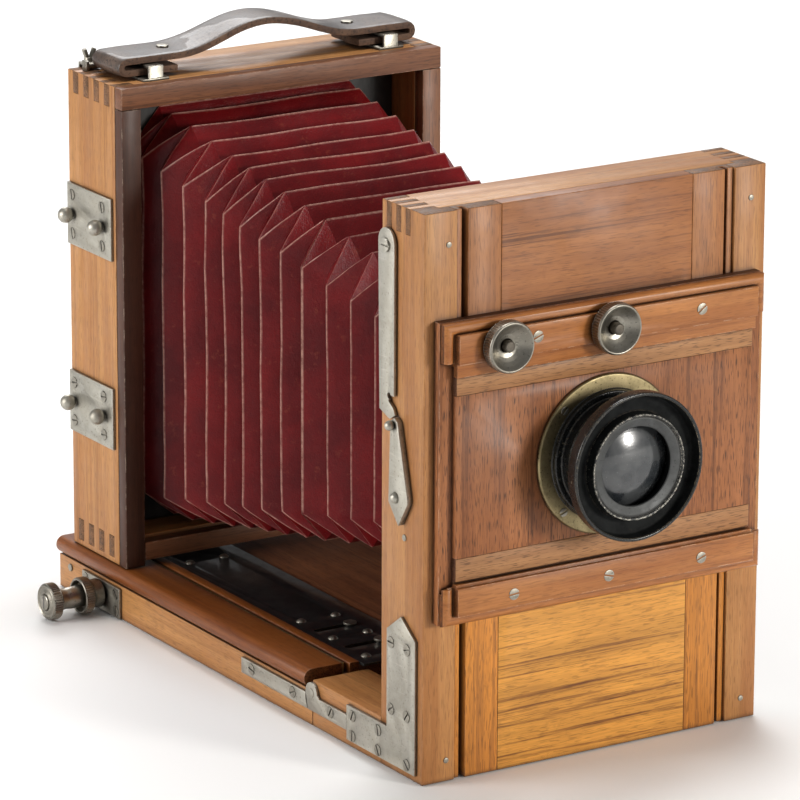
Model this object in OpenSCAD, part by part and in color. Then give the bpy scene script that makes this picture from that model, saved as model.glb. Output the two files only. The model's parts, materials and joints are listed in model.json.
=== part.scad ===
/* [Front standard] */
// Width of the front standard
std_w = 182; // [180:1:184]
// Height of the front standard
std_h = 264; // [260:1:270]
// Depth of the front standard
std_d = 35; // [34:0.5:36]
// Width of each front stile
stile_w = 17; // [16:0.5:18]
// Width of the grooves beside the front panel
groove_w = 5.5; // [5:0.25:6]
// Height of the lens axis above the base
lens_z = 144; // [142:1:146]

/* [Bed] */
// Distance from the front face to the bed hinge
hinge_back = 95; // [94:0.5:96]
// Overall length of the bed
bed_l = 337; // [335:1:340]
// Height of the top of the sled, where the rear standard rests
sled_top = 26; // [26:0.25:26.5]
// Distance from the front face to the focusing shaft
knob_back = 293; // [292:0.5:294]

/* [Rear standard] */
// Distance from the front face to the rear standard's fascia
rear_back = 271.5; // [270:0.5:273]
// Depth of the rear standard
rear_d = 53; // [52:0.5:54]
// Width of the rear standard
rear_w = 179.4; // [178:0.2:180]
// Height of the rear standard
rear_h = 239; // [236:1:242]

/* [Bellows] */
// Width of the bellows at the rear
bellows_rear_w = 140; // [134:1:142]
// Height of the bellows at the rear
bellows_rear_h = 200; // [190:1:202]
// Width of the bellows at the front
bellows_front_w = 100; // [96:1:108]
// Height of the bellows at the front
bellows_front_h = 100; // [96:1:112]

/* [Lens] */
// Radius of the brass flange
flange_r = 37.3; // [36:0.1:37.4]
// Radius of the lens hood
hood_r = 34.4; // [33:0.1:35]
// Radius of the barrel
barrel_r = 27; // [26:0.5:28]

/* [Metalwork] */
// Thickness of the nickel plates
plate_t = 1.5; // [1.4:0.1:1.6]
// Head radius of the countersunk screws
screw_r = 2.65; // [2.4:0.05:2.7]
// Radius of the tripod thread
tripod_r = 4.76; // [4.7:0.01:4.8]

/* [Hidden] */

$fn = 48;

// Colours
light_wood = "#c89664";
dark_wood = "#96694f";
rail_wood = "#aa6932";
red_leather = "#64141e";
nickel = "#bebeb4";
brass = "#82784b";
black_metal = "#232626";
brown_leather = "#3c2a24";
glass_tint = "#9fb4bd";

// The origin is the mouth of the tripod bush, in the underside of the front bed section
front_y = -65;
std_back_y = front_y + std_d;
hinge_y = front_y + hinge_back;
bed_end_y = front_y + bed_l;
rear_y = front_y + rear_back;
rear_end_y = rear_y + rear_d;
knob_y = front_y + knob_back;
hw = std_w / 2;
board_t = 12;
gap = 0.3;

// Front standard
panel_t = 8;
panel_half = hw - stile_w - groove_w;
strip_w = 17.5;
lens_gap_half = 41.5;
lens_gap_lo = 100;
lens_gap_hi = 192;

// Bed
bed_side_h = 17;
front_bed_h = 22.5;
front_block_w = 30;
floor_t = 5;
sled_lo = 17.5;
sled_half = 93;
sled_rail_in = 72.5;
strip_out = 69.6;
strip_in = 64.5;
shaft_z = 9.2;
knurl_r = 9.1;
shaft_r = 3;
run_fit = 0.05;

// Focusing gear
gear_module = 0.8;
pinion_teeth = 16;
pitch_r = gear_module * pinion_teeth / 2;
tooth_pitch = PI * gear_module;
rack_w = 5;
rack_x = 76.5;
pitch_z = shaft_z + pitch_r;
rack_teeth = 48;

// Rear standard
rhw = rear_w / 2;
side_t = rhw - 79;
fascia_t = 6.8;
fascia_w = 10.5;
rear_z = sled_top + 0.2;
rear_top_z = rear_z + rear_h;
box_y = rear_y + fascia_t + 0.4;
bellows_z = 147;
bellows_back_y = rear_y + 28;
bellows_front_y = front_y + 16;
bellows_mid_y = 90.5;
fold_d = 10;
glass_y = rear_end_y - 12;
glass_lo = 40;
glass_hi = rear_top_z - 12.2;
pin_y = rear_end_y + 2.4;
pin_z = 37.6;

// Rising panel, rails and lens board, from the front face forwards
panel_y = front_y - 4.8;
rail_y = front_y - 11.8;
board_y = front_y - 8.5;
rise_half = 86;
rise_lo = 76;
rise_hi = 215.4;
rail_half = 80;
border_r = 2.9;

// A box given by its two corners
module block(lo, hi) {
    translate(lo) cube(hi - lo);
}

// The same shape on the left and the right
module both_sides() {
    children();
    mirror([1, 0, 0]) children();
}

// A plate in the YZ plane on the left side; its outline's X is the object's Y
module side_plate(x_out, t) {
    translate([x_out, 0, 0]) rotate([90, 0, 90]) linear_extrude(t) children();
}

// A round bar along X, from x0 to x1
module bar_x(r, x0, x1, y, z) {
    translate([x0, y, z]) rotate([0, 90, 0]) cylinder(r = r, h = x1 - x0);
}

// A round bar along Y, from y0 to y1
module bar_y(r, y0, y1, x, z) {
    translate([x, y1, z]) rotate([90, 0, 0]) cylinder(r = r, h = y1 - y0);
}

// A countersunk wood screw with its head upwards along +Z, top of the head at 0
module screw(r = screw_r, l = 9) {
    difference() {
        union() {
            translate([0, 0, -plate_t]) cylinder(r = r, h = plate_t + 0.25);
            translate([0, 0, -l]) cylinder(r = r * 0.45, h = l - 0.5);
        }
        translate([-r - 1, -0.4, -0.35]) cube([2 * r + 2, 0.8, 2]);
    }
}

// A screw into the left side, at height z, turned by its own angle
module side_screw(x, y, z, turn) {
    translate([x, y, z]) rotate([0, -90, 0]) rotate([0, 0, turn]) screw();
}

// A round-headed screw along -Y
module face_screw(x, y, z, turn, r = screw_r, l = 7) {
    translate([x, y, z]) rotate([90, 0, 0]) rotate([0, 0, turn]) screw(r, l);
}

// Screw holes through a left side plate
module side_holes(points, x) {
    for (p = points) bar_x(screw_r + 0.1, x - 1, x + plate_t + 1, p[0], p[1]);
}

// Positions along the front: distance behind the front face, and height
corner_points = [for (p = [[24.5, 61.4], [11, 61.4], [24.4, 29.7], [11.2, 29.8], [57.5, 16.2],
                           [57.5, 6.5], [35.4, 16.2], [35.4, 6.5], [11.1, 7]]) [front_y + p[0], p[1]]];
hinge_points = [for (p = [[147.8, 12], [110.4, 12], [76.8, 12]]) [front_y + p[0], p[1]]];
bearing_points = [for (sy = [-1, 1], sz = [-1, 1]) [knob_y + sy * 15, 8 + sz * 4.4]];
stud_zs = [194.3, 99.8];

// ---------- Front standard ----------

// Slots or tongues of a finger joint in the left board, at the top
module fingers(y0, y1, count, z0, z1, x0, x1) {
    step = (y1 - y0) / (2 * count + 1);
    for (i = [0:count - 1]) block([x0, y0 + step * (2 * i + 1), z0], [x1, y0 + step * (2 * i + 2), z1]);
}

module front_sides() {
    color(light_wood) both_sides() difference() {
        union() {
            block([-hw, front_y, 0], [-hw + board_t, std_back_y, std_h]);
            block([-hw + board_t, front_y, 0], [-hw + stile_w, front_y + panel_t, std_h]);
        }
        fingers(front_y + panel_t, std_back_y, 3, std_h - board_t, std_h + 1, -hw - 1, -hw + board_t + 1);
    }
}

module front_top_board() {
    color(light_wood) {
        block([-hw + board_t, front_y + panel_t, std_h - board_t], [hw - board_t, std_back_y, std_h]);
        both_sides() fingers(front_y + panel_t, std_back_y, 3, std_h - board_t, std_h, -hw, -hw + board_t);
    }
}

module front_panel() {
    color("#c08a4a") difference() {
        block([-panel_half + strip_w, front_y, 0], [panel_half - strip_w, front_y + panel_t, std_h]);
        block([-lens_gap_half, front_y - 1, lens_gap_lo],
              [lens_gap_half, front_y + panel_t + 1, lens_gap_hi]);
    }
}

module front_panel_strips() {
    color(dark_wood) both_sides() {
        block([-panel_half, front_y, 0], [-panel_half + strip_w, front_y + panel_t, std_h]);
        block([-panel_half - groove_w, front_y + 1.5, 0], [-panel_half - 2.2, front_y + panel_t, std_h]);
        block([-panel_half - 2.2, front_y + 5.5, 0], [-panel_half, front_y + panel_t, std_h]);
    }
}

module bellows_front_frame() {
    color(dark_wood) difference() {
        block([-62, front_y + panel_t, bellows_z - 63], [62, front_y + 15.5, bellows_z + 63]);
        block([-44, front_y, bellows_z - 46], [44, front_y + 20, bellows_z + 46]);
    }
}

module front_nails() {
    color(nickel) {
        for (x = [-hw + 12.5, hw - 8], z = [10, std_h - 15]) bar_y(1.3, front_y - 0.4, front_y + 5, x, z);
        bar_x(1.5, -hw - 0.5, -hw + 6, front_y + 15.5, 112.6);
        bar_x(1.5, hw - 6, hw + 0.5, front_y + 15.5, 112.6);
        bar_x(1.8, -hw - 0.8, -hw + 6, bed_end_y - 11.5, 12.6);
    }
}

// ---------- Hooks and levers on the sides ----------

hook_y = front_y + 28.6;
hook_z = 244.5;
hook_x = -hw - 1.9;
lever_y = front_y + 18.5;
lever_z = 131;
lever_t = 2.8;
lever_x = -hw - 0.2 - lever_t;

module hook_shape() {
    difference() {
        union() {
            translate([hook_y, hook_z + 1.2]) circle(r = 6.6);
            polygon([[hook_y + 6.6, hook_z + 1.2], [hook_y - 6.6, hook_z + 1.2],
                     [hook_y - 6.6, hook_z - 68], [hook_y - 3, hook_z - 68], [hook_y - 2, hook_z - 71],
                     [hook_y - 6, hook_z - 73.5], [hook_y - 7.6, hook_z - 76.5],
                     [hook_y - 3, hook_z - 79], [hook_y + 5.4, hook_z - 76]]);
        }
        translate([hook_y, hook_z]) circle(r = 2.5);
        translate([hook_y - 2.6, hook_z - 68.4]) circle(r = 1.5);
    }
}

module hook_arm_left() {
    color(nickel) side_plate(hook_x, 1.4) hook_shape();
    color(nickel) hook_pivot();
}

module hook_arm_right() {
    color(nickel) mirror([1, 0, 0]) {
        side_plate(hook_x, 1.4) hook_shape();
        hook_pivot();
    }
}

// Round-headed pivot screw, riveted to the arm
module hook_pivot() {
    difference() {
        union() {
            bar_x(2.45, hook_x, -hw, hook_y, hook_z);
            bar_x(3.2, hook_x - 1.2, hook_x, hook_y, hook_z);
        }
        block([hook_x - 2, hook_y - 4, hook_z - 0.4], [hook_x - 0.7, hook_y + 4, hook_z + 0.4]);
    }
}

module lever_shape() {
    polygon([[lever_y + 4.6, lever_z + 34.5], [lever_y + 1.4, lever_z + 36.5], [lever_y - 1.2, lever_z + 35],
             [lever_y - 9.6, lever_z + 1.5], [lever_y - 9.6, lever_z - 1], [lever_y - 2.2, lever_z - 12.6],
             [lever_y + 6, lever_z - 3]]);
}

module stay_lever() {
    color(nickel) {
        side_plate(lever_x, lever_t) lever_shape();
        bar_x(1.7, lever_x, -hw, lever_y, lever_z);
        translate([lever_x, lever_y, lever_z]) intersection() {
            sphere(r = 2.6);
            translate([-3, -3, -3]) cube([3, 6, 6]);
        }
        bar_x(1, lever_x - 1.8, lever_x, lever_y + 2.4, lever_z + 33);
        translate([lever_x - 1.8, lever_y + 2.4, lever_z + 33]) sphere(r = 2.3);
    }
}

module stay_lever_left() {
    stay_lever();
}

module stay_lever_right() {
    mirror([1, 0, 0]) stay_lever();
}

// ---------- Fixed bed ----------

module front_bed_floor() {
    color(light_wood) difference() {
        block([-hw + front_block_w, front_y + panel_t, 0], [hw - front_block_w, hinge_y - 0.4, 9]);
        cylinder(r = 8, h = 30, center = true);
        translate([0, 0, -0.1]) cylinder(r = 16.1, h = 2.1);
    }
}

module front_bed_sides() {
    color(light_wood) both_sides() {
        block([-hw, std_back_y, 0], [-hw + front_block_w, hinge_y - 0.4, front_bed_h]);
        block([-hw + board_t, front_y + panel_t, 0], [-hw + front_block_w, std_back_y, front_bed_h]);
    }
}

// L-shaped plates that tie the front standard to the bed
module corner_plates() {
    color(nickel) both_sides() difference() {
        side_plate(-hw - plate_t, plate_t) polygon([for (p = [[4.2, 3.6], [62.5, 3.6], [62.5, 20.4],
            [28, 20.4], [28, 67], [16.2, 75.5], [4.2, 67]]) [front_y + p[0], p[1]]]);
        side_holes(corner_points, -hw - plate_t);
    }
}

module tripod_bush() {
    color(brass) difference() {
        union() {
            cylinder(r = 16, h = 2);
            cylinder(r = 7.9, h = 9);
        }
        translate([0, 0, -1]) cylinder(r = tripod_r, h = 12);
        for (a = [90:120:330]) rotate([0, 0, a]) translate([11.9, 0, -1]) cylinder(r = screw_r + 0.1, h = 4);
    }
}

module bed_sides() {
    color(light_wood) both_sides() difference() {
        block([-hw, hinge_y, 0], [-hw + board_t, bed_end_y, bed_side_h]);
        bar_x(5.05, -hw - 1, -hw + board_t + 1, knob_y, shaft_z);
    }
}

module bed_floor() {
    color(light_wood) difference() {
        block([-hw + board_t, hinge_y, 0], [hw - board_t, bed_end_y, floor_t]);
        block([-82, knob_y - 9, -1], [-66, knob_y + 9, floor_t + 1]);
        block([66, knob_y - 9, -1], [82, knob_y + 9, floor_t + 1]);
    }
    color(light_wood) block([-hw + board_t, bed_end_y - 12, floor_t], [hw - board_t, bed_end_y, 11]);
}

tongue_y = hinge_y - 1.4;
tongue_z = 16.5;

// Two leaves on each side, joined by a pin in a round tongue
module hinge_leaves() {
    color(nickel) both_sides() difference() {
        union() {
            side_plate(-hw - plate_t, plate_t) polygon([[front_y + 157, 8], [hinge_y + 2, 8],
                [hinge_y + 3.6, 12], [hinge_y + 3.9, 15.6], [front_y + 157, 15.6]]);
            side_plate(-hw - plate_t, plate_t) union() {
                translate([tongue_y, tongue_z]) circle(r = 5);
                polygon([[tongue_y + 5, tongue_z], [tongue_y - 5, tongue_z], [tongue_y - 6.6, 15.2],
                         [front_y + 62.7, 15.2], [front_y + 62.7, 8], [hinge_y + 1.6, 8]]);
            }
            bar_x(2.2, -hw - plate_t - 0.3, -hw + 10, tongue_y, tongue_z);
        }
        side_holes(hinge_points, -hw - plate_t);
    }
}

module bearing_plates() {
    color(nickel) both_sides() difference() {
        union() {
            block([-hw - plate_t, knob_y - 18.5, 0.3], [-hw, knob_y + 18.5, 15.6]);
            bar_x(5, -hw, -hw + board_t, knob_y, shaft_z);
        }
        bar_x(shaft_r + run_fit, -hw - 2, -hw + board_t + 1, knob_y, shaft_z);
        side_holes(bearing_points, -hw - plate_t);
    }
}

module bed_screws() {
    color(nickel) both_sides() {
        for (i = [0:len(corner_points) - 1])
            side_screw(-hw - plate_t, corner_points[i][0], corner_points[i][1], 90 + 17 * i);
        for (i = [0:2]) side_screw(-hw - plate_t, hinge_points[i][0], hinge_points[i][1], 80 + 35 * i);
        for (i = [0:3]) side_screw(-hw - plate_t, bearing_points[i][0], bearing_points[i][1], 40 * i);
    }
    color(nickel) for (a = [90:120:330]) rotate([0, 0, a]) translate([11.9, 0, 0.25])
        rotate([180, 0, 0]) screw(screw_r, 7);
}

// ---------- Focusing shaft ----------

module pinion_shaft() {
    color(nickel) bar_x(shaft_r, -hw - 24, hw + 1, knob_y, shaft_z);
}

// One straight-sided gear tooth, thinner than its space so that it runs with backlash
module pinion_outline() {
    circle(r = pitch_r - 0.95 * gear_module);
    for (i = [0:pinion_teeth - 1]) rotate(360 / pinion_teeth * (i + 0.5))
        polygon([[-0.62, pitch_r - 1.3 * gear_module], [0.62, pitch_r - 1.3 * gear_module],
                 [0.22, pitch_r + 0.72 * gear_module], [-0.22, pitch_r + 0.72 * gear_module]]);
}

module pinion_gears() {
    color(brass) both_sides() difference() {
        translate([-rack_x, knob_y, shaft_z]) rotate([90, 0, 90]) linear_extrude(rack_w) pinion_outline();
        bar_x(shaft_r, -rack_x - 1, -rack_x + rack_w + 1, knob_y, shaft_z);
    }
}

knob_out = -hw - 32.2;

// Knurled disc with a long neck and a slotted cap
module focus_knob() {
    color(nickel) difference() {
        union() {
            bar_x(knurl_r - 0.3, knob_out + 0.6, knob_out + 5.6, knob_y, shaft_z);
            bar_x(knurl_r - 0.9, knob_out, knob_out + 0.6, knob_y, shaft_z);
            bar_x(5.4, knob_out + 5.6, -hw - 11.4, knob_y, shaft_z);
            bar_x(4.6, knob_out - 0.9, knob_out, knob_y, shaft_z);
            for (i = [0:35]) translate([knob_out + 0.9, knob_y, shaft_z]) rotate([i * 10, 0, 0])
                translate([0, -0.35, knurl_r - 0.6]) cube([4.4, 0.7, 0.6]);
        }
        bar_x(shaft_r, -hw - 24, -hw, knob_y, shaft_z);
        block([knob_out - 1, knob_y - 6, shaft_z - 0.5], [knob_out - 0.2, knob_y + 6, shaft_z + 0.5]);
    }
}

// Cup-shaped lock nut that runs on the shaft between the knob and the plate
module lock_nut() {
    color(nickel) difference() {
        union() {
            bar_x(knurl_r - 0.3, -hw - 14.2, -hw - 9, knob_y, shaft_z);
            bar_x(7.2, -hw - 9, -hw - 2.4, knob_y, shaft_z);
            for (i = [0:35]) translate([-hw - 13.8, knob_y, shaft_z]) rotate([i * 10, 0, 0])
                translate([0, -0.35, knurl_r - 0.6]) cube([4.6, 0.7, 0.6]);
        }
        bar_x(7.5, -hw - 15, -hw - 11, knob_y, shaft_z);
        bar_x(shaft_r + run_fit, -hw - 12, -hw, knob_y, shaft_z);
    }
}

// ---------- Sled ----------

plate_x = -44.5;
plate_half = 19.5;
plate_end_y = bed_end_y - 30;
plate_top = sled_top - 0.5;
lock_plate_t = 1.2;
slot_backs = [146, 118.5];
plate_screw_backs = [266.5, 161.5, 132.5, 103];

// Rail with a rounded nose that overhangs the bed's side
module sled_rails() {
    nose_r = (sled_top - sled_lo) / 2;
    color(rail_wood) both_sides() {
        block([-sled_half + nose_r, hinge_y + 4, sled_lo], [-sled_rail_in, bed_end_y, sled_top]);
        bar_y(nose_r, hinge_y + 4, bed_end_y, -sled_half + nose_r, sled_lo + nose_r);
    }
}

module groove_strips() {
    color(brass) both_sides()
        block([-sled_rail_in, hinge_y + 4, sled_lo + 2], [-sled_rail_in + 1.1, bed_end_y, sled_top - 0.1]);
}

module sled_strips() {
    color(rail_wood) both_sides()
        block([-strip_out, hinge_y + 2, sled_lo + 3.1], [-strip_in, bed_end_y, sled_top]);
}

module sled_floor() {
    color(dark_wood) difference() {
        union() {
            block([-strip_in, hinge_y + 2, sled_lo], [strip_in, bed_end_y, plate_top - lock_plate_t]);
            both_sides()
                block([-sled_rail_in + 1.1, hinge_y + 4, sled_lo], [-strip_in, bed_end_y, sled_lo + 3]);
        }
        block([-60.5, front_y + 110, plate_top - 3.6], [-34, front_y + 154, plate_top]);
    }
}

module racks() {
    base_z = pitch_z + 0.95 * gear_module;
    tip_z = pitch_z - 0.72 * gear_module;
    color(brass) both_sides() translate([-rack_x, 0, 0]) rotate([90, 0, 90]) linear_extrude(rack_w)
        union() {
            translate([knob_y - (rack_teeth - 5.5) * tooth_pitch, base_z])
                square([rack_teeth * tooth_pitch, sled_lo - base_z]);
            for (i = [6 - rack_teeth:4]) translate([knob_y + i * tooth_pitch, 0])
                polygon([[-0.72, base_z + 0.01], [0.72, base_z + 0.01], [0.24, tip_z], [-0.24, tip_z]]);
        }
}

// Blackened plate with two crosswise slots
module lock_plate() {
    color(black_metal) difference() {
        block([plate_x - plate_half, hinge_y - 1.5, plate_top - lock_plate_t],
              [plate_x + plate_half, plate_end_y, plate_top]);
        for (b = slot_backs) hull() for (x = [-57, -39.5])
            translate([x, front_y + b, plate_top - 3]) cylinder(r = 2.1, h = 6);
        for (b = plate_screw_backs, x = [-57, -38])
            translate([x, front_y + b, plate_top - 3]) cylinder(r = 1.5, h = 6);
    }
}

module lock_plate_screws() {
    color(nickel) for (b = plate_screw_backs, x = [-57, -38]) translate([x, front_y + b, plate_top]) {
        intersection() {
            translate([0, 0, -1.6]) sphere(r = 3);
            translate([0, 0, 1.5]) cube([8, 8, 3], center = true);
        }
        shank = b > 112 && b < 152 ? lock_plate_t : 6;
        translate([0, 0, -shank]) cylinder(r = 1.4, h = shank + 0.1);
    }
}

// Two round-headed pins on a bar that slides under the plate
module lock_bar() {
    color(nickel) for (b = slot_backs) translate([-39.5, front_y + b, 0]) {
        translate([0, 0, plate_top + 0.3]) cylinder(r = 3.2, h = 1);
        translate([0, 0, plate_top - 1.6]) cylinder(r = 1.9, h = 2);
    }
    color(nickel) block([-42.5, front_y + 112, plate_top - 2.8], [-36.5, front_y + 152, plate_top - 1.5]);
}

// ---------- Rear standard ----------

module rear_sides() {
    color(light_wood) both_sides() difference() {
        block([-rhw, box_y, rear_z], [-79, rear_end_y, rear_top_z]);
        fingers(box_y, rear_end_y, 4, rear_top_z - side_t, rear_top_z + 1, -rhw - 1, -78);
        fingers(box_y, rear_end_y, 4, rear_z + 2.8, rear_z + 2.8 + side_t, -rhw - 1, -78);
    }
}

module rear_top_board() {
    color(light_wood) {
        block([-79, box_y, rear_top_z - side_t], [79, rear_end_y, rear_top_z]);
        both_sides() fingers(box_y, rear_end_y, 4, rear_top_z - side_t, rear_top_z, -rhw, -79);
    }
}

module rear_sole() {
    color(light_wood) {
        block([-79, box_y, rear_z + 2.8], [79, rear_end_y, rear_z + 2.8 + side_t]);
        both_sides() fingers(box_y, rear_end_y, 4, rear_z + 2.8, rear_z + 2.8 + side_t, -rhw, -79);
    }
}

module rear_fascia() {
    color(dark_wood) difference() {
        block([-rhw, rear_y, rear_z], [rhw, rear_y + fascia_t, rear_top_z]);
        block([-rhw + fascia_w, rear_y - 1, rear_z + 11.8],
              [rhw - fascia_w, box_y + 1, rear_top_z - fascia_w]);
        block([-rhw + 20, rear_y - 1, rear_z - 1], [rhw - 20, box_y + 1, rear_z + 2.8]);
    }
}

module bellows_rear_frame() {
    color("#1c1a19") difference() {
        block([-79, bellows_back_y + 0.5, rear_z + 2.8 + side_t],
              [79, bellows_back_y + 6, rear_top_z - side_t]);
        block([-62, bellows_back_y - 1, bellows_z - 88], [62, bellows_back_y + 9, bellows_z + 88]);
    }
}

// Two plates a side, each with two domed studs
module stud_plates() {
    color(nickel) both_sides() for (z = stud_zs) difference() {
        union() {
            block([-rhw - plate_t, rear_end_y - 43.5, z - 15.3], [-rhw, rear_end_y - 0.7, z + 15.3]);
            for (back = [5.5, 34.5]) {
                bar_x(2, -rhw - 5.5, -rhw, rear_end_y - back, z);
                translate([-rhw - 5.2, rear_end_y - back, z]) sphere(r = 3.9);
            }
        }
        stud_screws(z) cylinder(r = screw_r + 0.1, h = 9, center = true);
    }
}

// Four positions round each stud plate
module stud_screws(z) {
    for (back = [5.2, 34.5], dz = [-9.6, 9.6])
        translate([-rhw - plate_t, rear_end_y - back, z + dz]) rotate([0, -90, 0]) children();
}

module stud_plate_screws() {
    color(nickel) both_sides() for (z = stud_zs) stud_screws(z) rotate([0, 0, z]) screw();
}

strap_y0 = rear_y + 13;
strap_y1 = rear_y + 41;
strap_t = 4;
strap_half = 84;
arch_half = 50;
arch_h = 11;
strap_low = rear_top_z + 1.6;
strap_high = strap_low + 5.8;

// Height of the arch's underside at x
function arch_z(x) = strap_high + arch_h * (1 + cos(180 * x / arch_half)) / 2;

// Leather strap: folded flat ends and a raised grip, as one outline
module handle_strap() {
    arch = [for (i = [-10:10]) [i * arch_half / 10, arch_z(i * arch_half / 10)]];
    color(brown_leather) translate([0, strap_y1, 0]) rotate([90, 0, 0]) linear_extrude(strap_y1 - strap_y0)
        difference() {
            union() {
                polygon(concat([[-strap_half + 5, strap_high]], arch, [[strap_half - 5, strap_high],
                    [strap_half - 5, strap_high + strap_t]],
                    [for (i = [10:-1:-10]) [arch[i + 10][0] * 1.05, arch[i + 10][1] + strap_t]],
                    [[-strap_half + 5, strap_high + strap_t]]));
                for (s = [-1, 1]) {
                    translate([s * (strap_half - 5), strap_low + 4.9]) circle(r = 4.9);
                    translate([s * (strap_half - 20) - 15, strap_low]) square([30, strap_t]);
                }
            }
            for (s = [-1, 1]) translate([s * (strap_half - 5) - 4, strap_low + strap_t])
                square([8, strap_high - strap_low - strap_t]);
        }
}

// Brackets that hold the folded ends, with their rivets
module strap_hardware() {
    color(nickel) both_sides() {
        block([-73, strap_y0 - 5, rear_top_z], [-59, strap_y1 + 5, rear_top_z + 1.3]);
        for (y = [strap_y0 - 4.6, strap_y1 + 3])
            block([-70, y, rear_top_z + 1.3], [-62, y + 1.6, strap_high - 0.2]);
        block([-70, strap_y0 - 3, strap_low + strap_t + 0.2], [-62, strap_y1 + 3, strap_high - 0.2]);
        translate([-52, (strap_y0 + strap_y1) / 2, strap_high + strap_t]) cylinder(r = 3, h = 0.9);
    }
}

catch_y = rear_end_y - 9;
catch_z = rear_top_z + 2.2;

// Knuckles on the sole with the pins of the back's hinges, and the ears that hold the catch
module back_fittings() {
    color(nickel) difference() {
        for (x = [-85.4, -75.2])
            block([x, catch_y - 2.2, rear_top_z], [x + 1.6, catch_y + 2.2, rear_top_z + 5]);
        bar_x(1.6 + run_fit, -86, -73, catch_y, catch_z);
    }
    color(brass) both_sides() {
        block([-62, rear_end_y, pin_z - 6.5], [-38, rear_end_y + 0.8, pin_z - 2.4]);
        block([-62, rear_end_y, pin_z - 3.4], [-55, pin_y, pin_z - 1.2]);
        bar_x(2.2, -62, -55, pin_y, pin_z);
        block([-45, rear_end_y, pin_z - 3.4], [-38, pin_y, pin_z - 1.2]);
        bar_x(2.2, -45, -38, pin_y, pin_z);
        bar_x(1.2, -56, -44, pin_y, pin_z);
    }
}

// Catch with a forked finger grip and its pivot
module back_catch() {
    color(nickel) {
        block([-83, catch_y, rear_top_z + 1.4], [-76, rear_end_y + 1.4, rear_top_z + 2.4]);
        block([-83, rear_end_y + 0.4, glass_hi + 0.6], [-76, rear_end_y + 1.4, rear_top_z + 1.4]);
        bar_x(1.6, -85.4, -73.6, catch_y, catch_z);
        for (s = [-1, 1]) translate([-79.5, rear_end_y - 3, rear_top_z + 2.2]) rotate([0, 22 * s, 0])
            cylinder(r = 1.2, h = 7.5);
        translate([-79.5, rear_end_y - 3, rear_top_z + 2.2]) cylinder(r = 2.4, h = 3);
    }
}

// ---------- Ground-glass back ----------

module glass_frame() {
    color(light_wood) difference() {
        block([-78.7, glass_y, glass_lo], [78.7, rear_end_y, glass_hi]);
        block([-66, glass_y - 1, glass_lo + 14], [66, rear_end_y + 1, glass_hi - 14]);
        block([-68.6, glass_y - 1, glass_lo + 11.4], [68.6, glass_y + 2.4, glass_hi - 11.4]);
    }
    color(brass) both_sides() {
        block([-54.7, rear_end_y, pin_z + 2.6], [-45.3, rear_end_y + 0.8, pin_z + 8]);
        difference() {
            union() {
                bar_x(2.2, -54.7, -45.3, pin_y, pin_z);
                block([-54.7, rear_end_y + 0.05, pin_z + 1.4], [-45.3, pin_y, pin_z + 3]);
            }
            bar_x(1.2 + run_fit, -56, -44, pin_y, pin_z);
        }
    }
}

module ground_glass() {
    color(glass_tint) block([-68.3, glass_y + 0.2, glass_lo + 11.7], [68.3, glass_y + 2.2, glass_hi - 11.7]);
}

module glass_clips() {
    color(brass) both_sides() for (z = [glass_lo + 40, glass_hi - 40])
        block([-74, glass_y - 0.8, z - 4], [-64, glass_y, z + 4]);
}

// ---------- Bellows ----------

// Share of the way from the front end of the bellows to the rear end
function part(y) = (y - bellows_front_y) / (bellows_back_y - bellows_front_y);

// A thin bevelled section of the bellows at y, inset by d
module section(y, d) {
    w = bellows_front_w + (bellows_rear_w - bellows_front_w) * part(y) - 2 * d;
    h = bellows_front_h + (bellows_rear_h - bellows_front_h) * part(y) - 2 * d;
    bevel = 15;
    translate([0, y + 0.05, bellows_z]) rotate([90, 0, 0]) linear_extrude(0.1)
        polygon([for (sx = [1, -1]) for (sz = [-sx, sx]) each
            [for (c = sz == -sx ? [1, 0] : [0, 1])
                [sx * (w / 2 - c * bevel), sz * (h / 2 - (1 - c) * bevel)]]]);
}

module bellows_tube(y0, y1) {
    color(red_leather) difference() {
        hull() {
            section(y0, 0);
            section(y1, 0);
        }
        hull() {
            section(y0 - 1, fold_d);
            section(y1 + 1, fold_d);
        }
    }
}

module bellows_front() {
    bellows_tube(bellows_front_y, bellows_mid_y - 0.2);
}

module bellows_rear() {
    bellows_tube(bellows_mid_y + 0.2, bellows_back_y);
}

// ---------- Rising panel ----------

module rise_panel() {
    color(dark_wood) difference() {
        block([-rise_half, panel_y, rise_lo], [rise_half, front_y - gap, rise_hi]);
        block([-lens_gap_half, panel_y - 1, lens_z - 26], [lens_gap_half, front_y + 1, lens_z + 26]);
        for (x = [-57, 0]) bar_y(2.8, panel_y - 1, front_y + 1, x, 203.5);
    }
}

// A twelve-sided rounded moulding along X
module moulding_x(x0, x1, y, z) {
    translate([x0, y, z]) rotate([0, 90, 0]) linear_extrude(x1 - x0) circle(r = border_r, $fn = 12);
}

// The same moulding upright
module moulding_z(x, y, z0, z1) {
    translate([x, y, z0]) linear_extrude(z1 - z0) circle(r = border_r, $fn = 12);
}

// Moulded border along a rail's outer edge and its two ends, mitred at the corners
module rail_border(z_edge, z_end, s) {
    x = rise_half - border_r;
    y = panel_y - 1.6;
    z = z_edge - s * border_r;
    moulding_x(-x, x, y, z);
    both_sides() {
        moulding_z(-x, y, min(z, z_end), max(z, z_end));
        intersection() {
            moulding_x(-x - border_r, -x + border_r, y, z);
            moulding_z(-x, y, z - border_r, z + border_r);
        }
    }
}

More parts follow.
